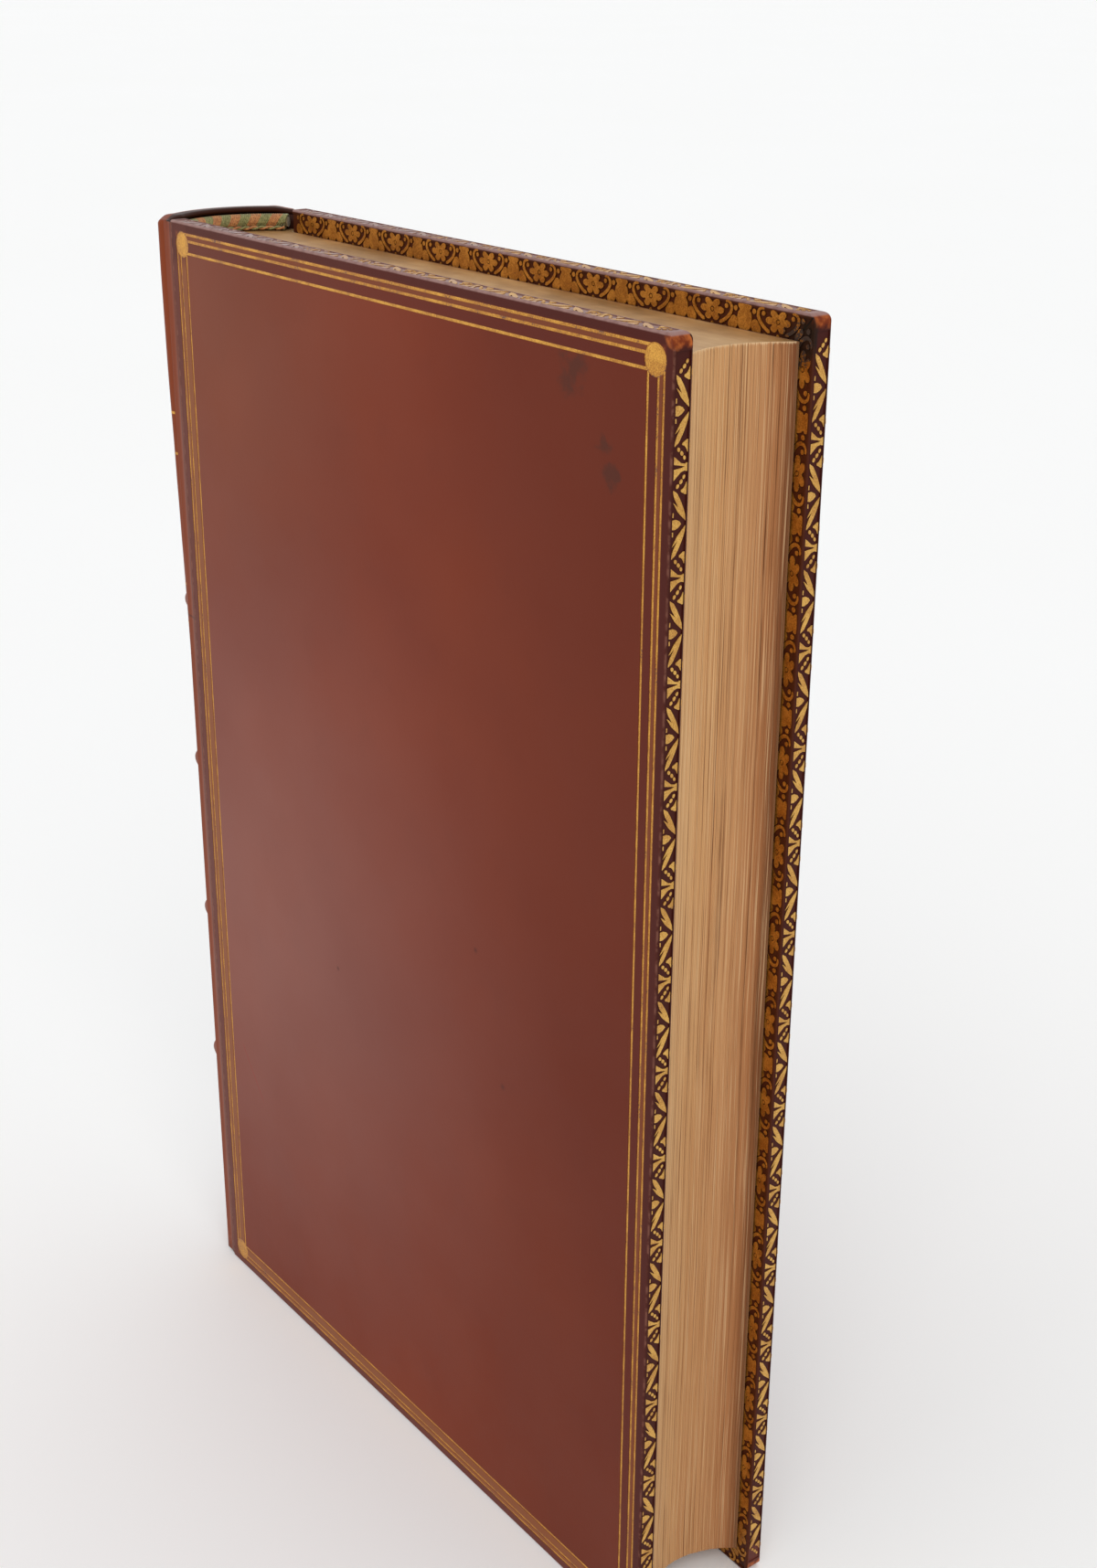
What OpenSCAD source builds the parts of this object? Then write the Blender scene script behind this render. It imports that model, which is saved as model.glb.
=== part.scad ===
// Antique book in a full leather binding, standing on its tail.
// X runs from the spine to the fore edge, Y through the thickness with the
// front cover at -Y, and Z from tail to head. All sizes are in millimetres.

/* [Covers] */
// Height of the boards, tail to head
board_h = 200; // [185:1:240]
// Width of a board, joint to fore edge
board_w = 125; // [100:1:160]
// Thickness of the pasteboard inside a cover
core_t = 2; // [1.6:0.1:3]
// Thickness of the leather on the covers
leather_t = 0.5; // [0.4:0.05:0.8]
// Radius along the edges of the covers
edge_round = 0.35; // [0.3:0.05:0.5]
// Radius of the rubbed corners, seen from the front
corner_round = 1.6; // [0.8:0.1:3]
// Width of the leather turned in over the inside of a board
turn_in_w = 9; // [8:0.5:14]
// Thickness of the paper pasted inside a cover
pastedown_t = 0.25; // [0.1:0.05:0.35]

/* [Text block] */
// Thickness of the pages, pressed together
block_t = 18.9; // [16:0.1:26]
// Cover standing above the pages at the head
head_square = 3.6; // [3:0.1:5]
// Cover standing below the pages at the tail
tail_square = 3.7; // [3.4:0.1:5]
// Cover standing past the pages at the fore edge
fore_square = 2.4; // [1.5:0.1:5]
// Depth of the hollow in the fore edge
fore_hollow = 3.5; // [1:0.1:5]
// Folded gatherings that the pages are sewn in
gatherings = 15; // [8:1:20]
// Height of the ridge that one gathering makes on the fore edge
gathering_rib = 0.15; // [0.05:0.05:0.3]
// Thickness of a free endpaper
endpaper_t = 0.25; // [0.15:0.05:0.4]
// Air between a closed cover and the endpaper
cover_gap = 0.2; // [0.1:0.05:0.5]

/* [Spine] */
// Width of the joint, board edge to shoulder
joint_w = 3; // [2.4:0.1:4]
// Gap at which the joint leather splits: a cover turns about its outer corner
joint_gap = 0.5; // [0.3:0.1:0.8]
// How far the joint lies below the face of a cover
joint_drop = 0.3; // [0.2:0.1:0.6]
// Height of the rounding over the shoulders
spine_rise = 6; // [4.5:0.1:8]
// Thickness of the leather on the spine
spine_leather_t = 0.9; // [0.7:0.1:1.2]
// Thickness of the lining glued over the folds
lining_t = 0.4; // [0.2:0.1:0.8]
// Paste between the lining and the leather
paste_t = 0.05; // [0.02:0.01:0.1]
// Diameter of the sewing cords
cord_d = 1.8; // [1.4:0.1:2.4]
// Share of a cord's radius that stands clear of the lining
cord_seat = 0.8; // [0.6:0.05:0.9]
// Thickness of the leather worked over a cord
band_leather_t = 0.8; // [0.5:0.1:1.1]
// Radius where a raised band meets the spine
band_foot = 0.8; // [0.4:0.1:1.2]
// Number of raised bands
bands = 5; // [3:1:6]
// Angle round the spine over which a band dies away before the shoulder
band_fade = 4; // [2:0.5:8]
// Tail of the boards to the lowest band
tail_panel = 44.2; // [36:0.1:52]
// Highest band to the head of the boards
head_panel = 35.6; // [28:0.1:44]

/* [Endbands and caps] */
// How far the leather cap stands above the boards at the head
head_cap_rise = 0.1; // [0:0.1:1.2]
// How far the leather cap stays above the resting face at the tail
tail_cap_lift = 0.2; // [0.1:0.1:0.6]
// Thickness of the doubled leather of a cap
cap_t = 0.9; // [0.7:0.1:1.2]
// How far a cap reaches over the endband
cap_lip = 1.2; // [0.6:0.1:2]
// Extra roundness of the spine at its two ends
cap_bulge = 0.8; // [0.2:0.1:1.2]
// Length of spine over which that roundness grows
cap_run = 14; // [8:1:20]
// Clearance round an endband
endband_gap = 0.1; // [0.05:0.05:0.2]
// Thickness of the silk wound over an endband
silk_t = 0.45; // [0.3:0.05:0.6]
// Turns of silk along an endband
silk_turns = 12; // [8:2:30]

/* [Gilding] */
// Thickness of the gilding solids
gilt_t = 0.1; // [0.06:0.01:0.15]
// How far the gilding is pressed below the leather
gilt_sink = 0.05; // [0.02:0.01:0.08]
// Width of a gilt line on a cover
line_w = 0.45; // [0.3:0.05:0.6]
// Edge of the board to the outer line
outer_line_in = 1.8; // [1.2:0.1:2.2]
// Edge of the board to the second line
second_line_in = 2.85; // [2.6:0.05:3.4]
// Edge of the board to the inner line
inner_line_in = 4.8; // [4.2:0.1:6]
// Diameter of the gilt corner discs
disc_d = 4.2; // [3.6:0.1:5]
// Edge of the board to the middle of a corner disc
disc_in = 3.5; // [3:0.1:4.2]
// Length of one repeat of the leaf roll on the board edges
roll_pitch = 13.9; // [12:0.1:22]
// Width of the two lines that border the leaf roll
roll_line_w = 0.12; // [0.08:0.01:0.2]
// Plain leather at each end of the leaf roll
roll_start = 0.5; // [0.5:0.1:3]
// Plain leather between the leaf roll and the rounding on each side of it
roll_margin = 0.05; // [0.05:0.05:0.3]
// Plain leather between a board's rounding and the gilt border of the turn-ins
dentelle_in = 0.25; // [0.2:0.05:0.8]
// Width of the gilt border of the turn-ins
dentelle_w = 5.8; // [4.5:0.1:6.5]
// Length of one repeat, flower and acorn, of that border
dentelle_pitch = 13.1; // [10:0.1:16]
// Distance of the spine's gilt lines from the foot of a band
spine_line_off = 1.2; // [0.6:0.1:3]

/* [Hidden] */
$fn = 96;
// Longer than the book each way
far = 400;
// How far a cut runs past the solid, and how far two joined forms overlap
cut = 1;
overlap = 0.25;

calf = "#6f3226";
gold = "#c9963c";
paper = "#b98f5e";
pasteboard = "#a58a68";
green_silk = "#3f7a4a";
red_silk = "#c2542c";
linen = "#cbb98f";

// Thicknesses through the closed book
board_t = core_t + 2 * leather_t;
inner_y = block_t / 2 + endpaper_t + cover_gap;
half_t = inner_y + board_t;
groove = gilt_t + gilt_sink;
core_round = max(edge_round, corner_round - leather_t);

// Heights of the pages and their fore edge
block_z0 = tail_square;
block_z1 = board_h - head_square;
fore_x = board_w - fore_square;

// The rounding of the spine is one arc about (spine_cx, 0)
shoulder_y = half_t - joint_drop;
spine_r = (shoulder_y * shoulder_y + spine_rise * spine_rise) / (2 * spine_rise);
spine_cx = spine_r - spine_rise - joint_w;
lining_r = spine_r - spine_leather_t;
fold_r = lining_r - lining_t;
shoulder_in_y = shoulder_y - spine_leather_t;
shoulder_clear = 0.1;
shoulder_x = -joint_gap - shoulder_clear;
shoulder_fillet = 0.5;
// The endpapers start a little way in from the shoulders
endpaper_in = 1;
endpaper_x = shoulder_x + shoulder_fillet + endpaper_in;
// Spine leather stops short of the boards' ends, its bands and caps of the
// shoulders
end_margin = 0.4;
end_angle = 1;

// A raised band is round over its cord
cord_r = cord_d / 2;
cord_mid_r = lining_r + cord_seat * cord_r;
band_r = cord_r + band_leather_t;
band_out = cord_mid_r + band_r - spine_r;
band_end = asin(shoulder_y / spine_r) - end_angle;
// The impressions of the gilt lines run out over the joints
groove_end = asin(shoulder_y / (spine_r - groove)) + end_angle;
cord_angle = asin((shoulder_y - band_r) / cord_mid_r) - band_fade;
band_foot_z = sqrt(pow(band_r + band_foot, 2) - pow(spine_r + band_foot - cord_mid_r, 2));
band_pitch = (board_h - tail_panel - head_panel) / (bands - 1);
function band_z(i) = tail_panel + i * band_pitch;

// The endbands fill the room between the pages and the caps
head_endband_d = head_square + head_cap_rise - cap_t - 2 * endband_gap;
tail_endband_d = tail_square - tail_cap_lift - cap_t - 2 * endband_gap;
head_endband_z = block_z1 + endband_gap + head_endband_d / 2;
tail_endband_z = block_z0 - endband_gap - tail_endband_d / 2;
cap_angle = asin(shoulder_y / (spine_r + cap_bulge)) - end_angle;
function endband_r(d) = lining_r - endband_gap - d / 2;
function endband_angle(d) = min(
    acos((spine_cx - 2 * shoulder_x) / (endband_r(d) - d / 2)),
    asin((shoulder_in_y - end_margin) / (endband_r(d) + d / 2)));

// The gilt roll lies in a channel on the flat of a board's edge
roll_w = board_t - 2 * (edge_round + roll_margin);
roll_mid_y = -half_t + board_t / 2;
roll_head_len = board_w - corner_round - 2 * roll_start;
roll_fore_len = board_h - 2 * (corner_round + roll_start);

// Insets of the outer and inner sides of the border on the turn-ins
dentelle_out = edge_round + dentelle_in;
dentelle_inner = dentelle_out + dentelle_w;

// The whole book is centred on the origin
place_x = (joint_w + spine_rise + max(band_out, cap_bulge) - board_w) / 2;

// Outlines seen from above

// Region left of the spine's arc of radius r, no wider than half_w each way
module spine_plan(r, half_w, x_end) {
    intersection() {
        translate([spine_cx, 0]) circle(r);
        translate([x_end - far, -half_w]) square([far, 2 * half_w]);
    }
}

// Fore edge of the pages: hollow, with one soft ridge for each gathering
function fore_point(u) = [
    fore_x - gathering_rib - fore_hollow * (1 - pow(2 * u - 1, 2))
        + gathering_rib * abs(sin(180 * gatherings * u)),
    block_t * (u - 0.5)
];

// Points of an arc about c, from angle a0 to a1 in n steps
function arc(c, r, a0, a1, n = 6) = [
    for (i = [0 : n]) let(a = a0 + (a1 - a0) * i / n) c + r * [cos(a), sin(a)]
];

// Pages with the shoulders that the backing hammer turns over the boards
module block_plan() {
    steps = gatherings * 6;
    root = shoulder_x + shoulder_fillet;
    half = block_t / 2 + endpaper_t;
    fillet = arc([root, half + shoulder_fillet], shoulder_fillet, 270, 180);
    upper = concat(
        [[endpaper_x, block_t / 2], [endpaper_x, half]],
        fillet,
        [[shoulder_x, shoulder_in_y], [-far, shoulder_in_y]]);
    intersection() {
        polygon(concat(
            [for (i = [0 : steps]) fore_point(i / steps)],
            upper,
            [for (i = [len(upper) - 1 : -1 : 0]) [upper[i][0], -upper[i][1]]]));
        union() {
            translate([spine_cx, 0]) circle(fold_r);
            translate([spine_cx, -far]) square([far, 2 * far]);
        }
    }
}

module text_block() {
    color(paper)
    translate([place_x, 0, block_z0])
    linear_extrude(block_z1 - block_z0) block_plan();
}

// A free endpaper lies on the pages, side -1 for the front and 1 for the back
module endpaper(side) {
    color(paper)
    translate([place_x + endpaper_x, side * (block_t + endpaper_t) / 2 - endpaper_t / 2, block_z0])
    cube([fore_x - endpaper_x, endpaper_t, block_z1 - block_z0]);
}

module spine_lining() {
    color(linen)
    translate([place_x, 0, block_z0])
    linear_extrude(block_z1 - block_z0)
    difference() {
        spine_plan(lining_r - paste_t, shoulder_in_y, shoulder_x);
        translate([spine_cx, 0]) circle(fold_r);
    }
}

// Turns the child's outline, drawn as radius and height, about the spine's axis
module round_spine(half_angle, from_angle = undef) {
    start = is_undef(from_angle) ? -half_angle : from_angle;
    translate([spine_cx, 0, 0])
    rotate([0, 0, 180 + start])
    rotate_extrude(angle = half_angle - start) children();
}

// Cords, flattened where they are sewn down on the lining
module cord_section(z) {
    intersection() {
        translate([cord_mid_r, z]) circle(cord_r);
        translate([lining_r, 0]) square([far, far]);
    }
}

module cord(i) {
    color(linen)
    translate([place_x, 0, 0]) round_spine(cord_angle) cord_section(band_z(i));
}

// Leather over a cord: round on top, with a hollow foot on each side
module band_section(z) {
    foot_c = [spine_r + band_foot, z - band_foot_z];
    foot_end = atan2(band_foot_z, cord_mid_r - spine_r - band_foot);
    foot = arc(foot_c, band_foot, 180, foot_end, 4);
    crest = arc([cord_mid_r, z], band_r, foot_end - 180, 180 - foot_end, 12);
    polygon(concat(
        [[spine_r - overlap, z - band_foot_z]],
        foot,
        crest,
        [for (i = [len(foot) - 1 : -1 : 0]) [foot[i][0], 2 * z - foot[i][1]]],
        [[spine_r - overlap, z + band_foot_z]]));
}

// Seen from above, a band slopes down to nothing at the shoulders: the slopes
// are the two long sides of a triangle
module band_slopes() {
    low = spine_r * [cos(band_end), sin(band_end)];
    high = (spine_r + band_out) * [cos(cord_angle), sin(cord_angle)];
    tip = low + (high - low) * low[1] / (low[1] - high[1]);
    translate([spine_cx, 0]) polygon([[-low[0], low[1]], [-tip[0], 0], [-low[0], -low[1]]]);
}

module raised_band(z) {
    intersection() {
        round_spine(band_end) band_section(z);
        translate([0, 0, z - band_foot_z - cut])
        linear_extrude(2 * (band_foot_z + cut)) band_slopes();
    }
}

// Cap section, over the wall of the spine: it swells towards the end and turns
// in over the endband. It is drawn for the head; end_z is its top.
module cap_section(end_z, pages_z) {
    steps = 12;
    lip_r = cap_t / 2;
    lip_x = lining_r - cap_lip + lip_r;
    top = end_z - cap_t;
    crown = arc([spine_r + cap_bulge - cap_t, top], cap_t, 0, 90, 8);
    polygon(concat(
        [[spine_r - overlap, pages_z - cap_run]],
        [for (i = [0 : steps])
            let(u = i / steps)
            [spine_r + cap_bulge * (0.5 - 0.5 * cos(180 * u)),
                pages_z - cap_run + u * (top - pages_z + cap_run - overlap)]],
        crown,
        arc([lip_x, end_z - lip_r], lip_r, 90, 270, 10),
        [[spine_r - overlap, top]]));
}

module spine_leather() {
    color(calf)
    translate([place_x, 0, 0])
    difference() {
        union() {
            translate([0, 0, end_margin])
            linear_extrude(board_h - 2 * end_margin)
            difference() {
                spine_plan(spine_r, shoulder_y, -joint_gap);
                spine_plan(lining_r, shoulder_in_y, 0);
            }
            for (i = [0 : bands - 1]) raised_band(band_z(i));
            round_spine(cap_angle) cap_section(board_h + head_cap_rise, block_z1);
            translate([0, 0, board_h])
            mirror([0, 0, 1])
            round_spine(cap_angle)
            cap_section(board_h - tail_cap_lift, board_h - block_z0);
        }
        for (i = [0 : bands - 1]) round_spine(cord_angle) cord_section(band_z(i));
        spine_rings(groove, 0, groove_end);
    }
}

// Gilt lines that follow the foot of each band
module spine_rings(depth, sink, half_angle) {
    off = band_foot_z + spine_line_off;
    for (i = [0 : bands - 1], s = [-1, 1])
        round_spine(half_angle)
        translate([spine_r - depth - sink, band_z(i) + s * off - line_w / 2])
        square([depth, line_w]);
}

module spine_fillets() {
    color(gold)
    translate([place_x, 0, 0]) spine_rings(gilt_t, gilt_sink, band_end);
}

// Endbands: a round core with silk wound over it in two colours by turns

module endband_sweep(d, z, from_angle, to_angle) {
    translate([place_x, 0, 0])
    round_spine(to_angle, from_angle) translate([endband_r(d), z]) children();
}

module endband_core(d, z) {
    half = endband_angle(d);
    color(linen) endband_sweep(d, z, -half, half) circle(d / 2 - silk_t);
}

// Every second turn of silk, starting with turn number first
module endband_silk(d, z, first, shade) {
    half = endband_angle(d);
    step = 2 * half / silk_turns;
    color(shade)
    for (k = [first : 2 : silk_turns - 1])
        endband_sweep(d, z, -half + k * step, -half + (k + 1) * step)
        difference() {
            circle(d / 2);
            circle(d / 2 - silk_t);
        }
}

// Covers are drawn as the front one; the back one is its mirror image
module cover(side) {
    if (side < 0) translate([place_x, 0, 0]) children();
    else translate([place_x, 0, 0]) mirror([0, 1, 0]) children();
}

module rounded_rect(x0, y0, x1, y1, r) {
    translate([x0 + r, y0]) square([x1 - x0 - 2 * r, y1 - y0]);
    translate([x0, y0 + r]) square([x1 - x0, y1 - y0 - 2 * r]);
    for (x = [x0 + r, x1 - r], y = [y0 + r, y1 - r]) translate([x, y]) circle(r);
}

// Board with its leather on: rounded along three edges and at two corners
module cover_slab() {
    intersection() {
        linear_extrude(board_h)
        rounded_rect(-far, -half_t, board_w, -inner_y, edge_round);
        rotate([90, 0, 90])
        linear_extrude(board_w)
        rounded_rect(-half_t, 0, -inner_y, board_h, edge_round);
        translate([0, -inner_y, 0])
        rotate([90, 0, 0])
        linear_extrude(board_t)
        rounded_rect(-far, 0, board_w, board_h, corner_round);
    }
}

// Room inside a cover that its pasteboard fills, from x0 to the fore edge
module core_room(x0) {
    intersection() {
        translate([x0, -half_t + leather_t, leather_t])
        cube([board_w - leather_t - x0, core_t, board_h - 2 * leather_t]);
        translate([0, -inner_y, 0])
        rotate([90, 0, 0])
        linear_extrude(board_t)
        rounded_rect(-far, leather_t, board_w - leather_t, board_h - leather_t, core_round);
    }
}

// Frame of three gilt lines with a disc at each corner, drawn in X and Z
module line_frame(inset, w) {
    difference() {
        translate([inset - w / 2, inset - w / 2])
            square([board_w - 2 * inset + w, board_h - 2 * inset + w]);
        translate([inset + w / 2, inset + w / 2])
            square([board_w - 2 * inset - w, board_h - 2 * inset - w]);
    }
}

module fillet_plan() {
    // The outer line ends under the discs
    difference() {
        line_frame(outer_line_in, line_w);
        for (x = [0, board_w - disc_in], z = [0, board_h - disc_in])
            translate([x, z]) square(disc_in);
    }
    for (inset = [second_line_in, inner_line_in]) line_frame(inset, line_w);
    for (x = [disc_in, board_w - disc_in], z = [disc_in, board_h - disc_in])
        translate([x, z]) circle(d = disc_d);
}

module on_outside(depth, sink) {
    translate([0, -half_t + sink + depth, 0])
    rotate([90, 0, 0]) linear_extrude(depth) children();
}

module on_inside(depth, sink) {
    translate([0, -inner_y - sink, 0])
    rotate([90, 0, 0]) linear_extrude(depth) children();
}

// Gilt shapes are drawn in shares of the pitch and of a height
module motif(points, pitch, height) {
    polygon([for (p = points) [p[0] * pitch, p[1] * height]]);
}

function flipped(points) = [for (i = [len(points) - 1 : -1 : 0]) [-points[i][0], points[i][1]]];

// Leaf roll along a board's edge, drawn from the origin along X. Heights are
// shares of half the roll's width.
leaf = [[0.02, 1], [0.09, 0.1], [0.27, -1], [0.19, 0.2]];
bud = [[-0.07, -1], [0.07, -1], [0.05, -0.3], [0, 0], [-0.05, -0.3]];
fan = [[-0.06, -1], [0.06, -1], [0.1, 0.2], [0.03, 1], [-0.03, 1], [-0.1, 0.2]];

module leaf_roll(length) {
    n = max(1, round(length / roll_pitch));
    pitch = length / n;
    h = (roll_w - roll_line_w) / 2;
    for (side = [-1, 1])
        translate([0, side * h - roll_line_w / 2])
        square([length, roll_line_w]);
    for (i = [0 : n - 1], shape = [leaf, flipped(leaf), bud])
        translate([(i + 0.5) * pitch, 0]) motif(shape, pitch, h);
    for (i = [1 : n - 1]) translate([i * pitch, 0]) motif(fan, pitch, h);
}

// The leaves meet in a point towards the back of the book, on both boards
module roll_for(side, length) {
    if (side < 0) leaf_roll(length);
    else translate([length, 0]) rotate(180) leaf_roll(length);
}

module roll_channel(length) {
    translate([0, -roll_w / 2]) square([length, roll_w]);
}

// Places the first child along the head edge and the second along the fore edge
module along_edges(depth, sink) {
    translate([roll_start, roll_mid_y, board_h - sink - depth])
    linear_extrude(depth) children(0);
    translate([board_w - sink, roll_mid_y, corner_round + roll_start])
    rotate([0, -90, 0]) linear_extrude(depth) children(1);
}

// Gilt border of the turn-ins: an acorn in its cap, then a flower between two
// scrolls, beside an inner line. Heights are shares of the border's width, from
// 0 at the line to 1 at the edge of the board.
acorn = [[-0.1, 0.985], [-0.085, 0.87], [-0.105, 0.68], [-0.085, 0.4], [-0.02, 0.06],
    [0.02, 0.06], [0.085, 0.4], [0.105, 0.68], [0.085, 0.87], [0.1, 0.985]];
flower = [[0.178, 0.7], [0.088, 0.8], [0.1, 0.985], [0, 0.85], [-0.1, 0.985], [-0.088, 0.8],
    [-0.178, 0.7], [-0.08, 0.6], [-0.095, 0.38], [0, 0.48], [0.095, 0.38], [0.08, 0.6]];
scroll = [[0.13, 0.06], [0.315, 0.7], [0.27, 0.985], [0.185, 0.91], [0.22, 0.7], [0.02, 0.06]];

// Border along X from the origin, its inner line at Y 0 and motifs up to Y h
module dentelle_run(length, h) {
    n = max(1, round(length / dentelle_pitch));
    pitch = length / n;
    for (i = [0 : n - 1]) {
        for (shape = [flower, scroll, flipped(scroll)])
            translate([(i + 0.5) * pitch, 0]) motif(shape, pitch, h);
        if (i > 0) translate([i * pitch, 0]) motif(acorn, pitch, h);
    }
}

// Region of the turn-ins from inset a to inset b, open towards the spine
module turn_in_strip(a, b) {
    difference() {
        translate([0, a]) square([board_w - a, board_h - 2 * a]);
        translate([-cut, b]) square([board_w - b + cut, board_h - 2 * b]);
    }
}

module dentelle_plan() {
    h = dentelle_w - line_w;
    line = dentelle_inner - line_w;
    turn_in_strip(line, dentelle_inner);
    translate([0, board_h - line]) dentelle_run(board_w - dentelle_inner, h);
    translate([board_w - dentelle_inner, line]) rotate(180) dentelle_run(board_w - dentelle_inner, h);
    translate([board_w - line, board_h - dentelle_inner]) rotate(-90)
        dentelle_run(board_h - 2 * dentelle_inner, h);
}

module board() {
    color(pasteboard) core_room(0);
}

module cover_leather() {
    color(calf)
    difference() {
        cover_slab();
        core_room(-cut);
        translate([-cut, -inner_y - leather_t - cut, turn_in_w])
        cube([board_w - turn_in_w + cut, leather_t + 2 * cut, board_h - 2 * turn_in_w]);
        on_outside(groove, 0) fillet_plan();
        along_edges(groove, 0) {
            roll_channel(roll_head_len);
            roll_channel(roll_fore_len);
        }
        on_inside(groove, 0) turn_in_strip(dentelle_out, dentelle_inner);
    }
}

module cover_fillets() {
    color(gold) on_outside(gilt_t, gilt_sink) fillet_plan();
}

module cover_edge_roll(side) {
    color(gold)
    along_edges(gilt_t, gilt_sink) {
        roll_for(side, roll_head_len);
        roll_for(side, roll_fore_len);
    }
}

module cover_turn_in_gilt() {
    color(gold) on_inside(gilt_t, gilt_sink) dentelle_plan();
}

module cover_pastedown() {
    color(paper)
    translate([0, -half_t + leather_t + core_t, turn_in_w])
    cube([board_w - turn_in_w, pastedown_t, board_h - 2 * turn_in_w]);
}

text_block();
endpaper(-1);  // front_endpaper
endpaper(1);  // back_endpaper
spine_lining();
for (i = [1 : bands]) cord(i - 1);
endband_core(head_endband_d, head_endband_z);  // head_endband_core
endband_silk(head_endband_d, head_endband_z, 0, green_silk);  // head_endband_green_silk
endband_silk(head_endband_d, head_endband_z, 1, red_silk);  // head_endband_red_silk
endband_core(tail_endband_d, tail_endband_z);  // tail_endband_core
endband_silk(tail_endband_d, tail_endband_z, 0, green_silk);  // tail_endband_green_silk
endband_silk(tail_endband_d, tail_endband_z, 1, red_silk);  // tail_endband_red_silk
spine_leather();
spine_fillets();
cover(-1) board();  // front_board
cover(-1) cover_leather();  // front_leather
cover(-1) cover_fillets();  // front_fillets
cover(-1) cover_edge_roll(-1);  // front_edge_roll
cover(-1) cover_turn_in_gilt();  // front_turn_in_gilt
cover(-1) cover_pastedown();  // front_pastedown
cover(1) board();  // back_board
cover(1) cover_leather();  // back_leather
cover(1) cover_fillets();  // back_fillets
cover(1) cover_edge_roll(1);  // back_edge_roll
cover(1) cover_turn_in_gilt();  // back_turn_in_gilt
cover(1) cover_pastedown();  // back_pastedown
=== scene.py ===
# %% [markdown]
# An antique book in full calf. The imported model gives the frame: its boards, pages and hinges are
# already in place and in metres. This lesson dresses that frame with leather, gold leaf, paper and
# silk, and takes its main positions from the frame's own boxes, so little has to be typed in.

# %% Load the frame
import math
import bmesh
import bpy
from mathutils import Matrix, Vector, noise


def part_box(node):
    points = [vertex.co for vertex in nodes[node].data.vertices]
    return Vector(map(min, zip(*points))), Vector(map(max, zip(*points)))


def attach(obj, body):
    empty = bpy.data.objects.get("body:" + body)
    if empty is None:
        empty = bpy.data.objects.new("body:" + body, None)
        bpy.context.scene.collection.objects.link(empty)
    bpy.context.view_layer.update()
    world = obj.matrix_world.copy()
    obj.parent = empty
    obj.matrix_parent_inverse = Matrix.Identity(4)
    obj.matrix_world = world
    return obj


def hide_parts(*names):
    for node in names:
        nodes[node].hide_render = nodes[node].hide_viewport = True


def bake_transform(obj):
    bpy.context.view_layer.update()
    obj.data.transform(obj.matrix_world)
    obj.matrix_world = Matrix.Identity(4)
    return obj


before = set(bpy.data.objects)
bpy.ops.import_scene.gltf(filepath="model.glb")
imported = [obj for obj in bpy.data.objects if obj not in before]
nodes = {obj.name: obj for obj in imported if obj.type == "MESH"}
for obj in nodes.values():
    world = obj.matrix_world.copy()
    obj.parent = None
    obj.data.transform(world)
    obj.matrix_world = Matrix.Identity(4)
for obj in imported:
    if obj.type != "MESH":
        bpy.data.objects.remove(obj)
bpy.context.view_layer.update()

# %% [markdown]
# A bookbinder measures in millimetres from the board's spine edge, so the lesson does too.
# X runs to the fore edge, Y through the thickness with the front cover at minus Y, Z up from the tail.

# %% Measures of the binding
MM = 0.001
cover_low, cover_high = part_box("front_leather")
page_low, page_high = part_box("text_block")
BOARD_X = cover_low.x
BOARD_W = (cover_high.x - cover_low.x) / MM
BOARD_H = cover_high.z / MM
OUTER_Y = -cover_low.y / MM
INNER_Y = -cover_high.y / MM
PAGES_Z0, PAGES_Z1 = page_low.z / MM, page_high.z / MM
PAGE_HALF = 9.45  # half of the pages' thickness at the fore edge


def at(x, y, z):
    """A point given in the binder's millimetres, as a point of the scene."""
    return Vector((BOARD_X + x * MM, y * MM, z * MM))


print("board %.1f x %.1f mm, faces at %.2f and %.2f mm" % (BOARD_W, BOARD_H, OUTER_Y, INNER_Y))

# %% [markdown]
# The camera stands a forearm's length from the head, to the right of the front cover, and looks down
# a little. Its three directions are written out as a matrix, which keeps the slight tilt of the hand.

# %% Camera
camera_data = bpy.data.cameras.new("camera")
camera_data.lens = 47.41
camera_data.sensor_width = 36
camera_data.clip_start = 0.01
camera = bpy.data.objects.new("camera", camera_data)
bpy.context.scene.collection.objects.link(camera)
look = Vector((-0.7323, 0.5630, -0.3832)).normalized()
right = Vector((0.60748, 0.79431, 0.0061)).normalized()
above = right.cross(look)
camera.matrix_world = Matrix.Translation((0.2522, -0.1730, 0.2440)) @ Matrix(
    (right, above, -look)).transposed().to_4x4()
bpy.context.scene.camera = camera
print("camera looks", [round(v, 3) for v in look])

# %% [markdown]
# Colours are easiest to talk about as the hex values of a paint program. Blender's sockets want
# linear light, so each hex value passes through the sRGB curve once.


# %% Colours
def tone(hex_value):
    """Linear red, green, blue and alpha from a hex colour."""
    parts = [int(hex_value[i:i + 2], 16) / 255 for i in (1, 3, 5)]
    return tuple(p / 12.92 if p <= 0.04045 else ((p + 0.055) / 1.055) ** 2.4 for p in parts) + (1.0,)


print("polished calf", [round(c, 3) for c in tone("#7b3c29")])

# %% [markdown]
# Every finish below is a small recipe: where am I on the book, which cloud of noise is here, which
# colour does that give. A helper that adds a node and wires it in one line keeps the recipes short.
# A finish lays one stain after another over a ground colour, as a dyer does.


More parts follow.
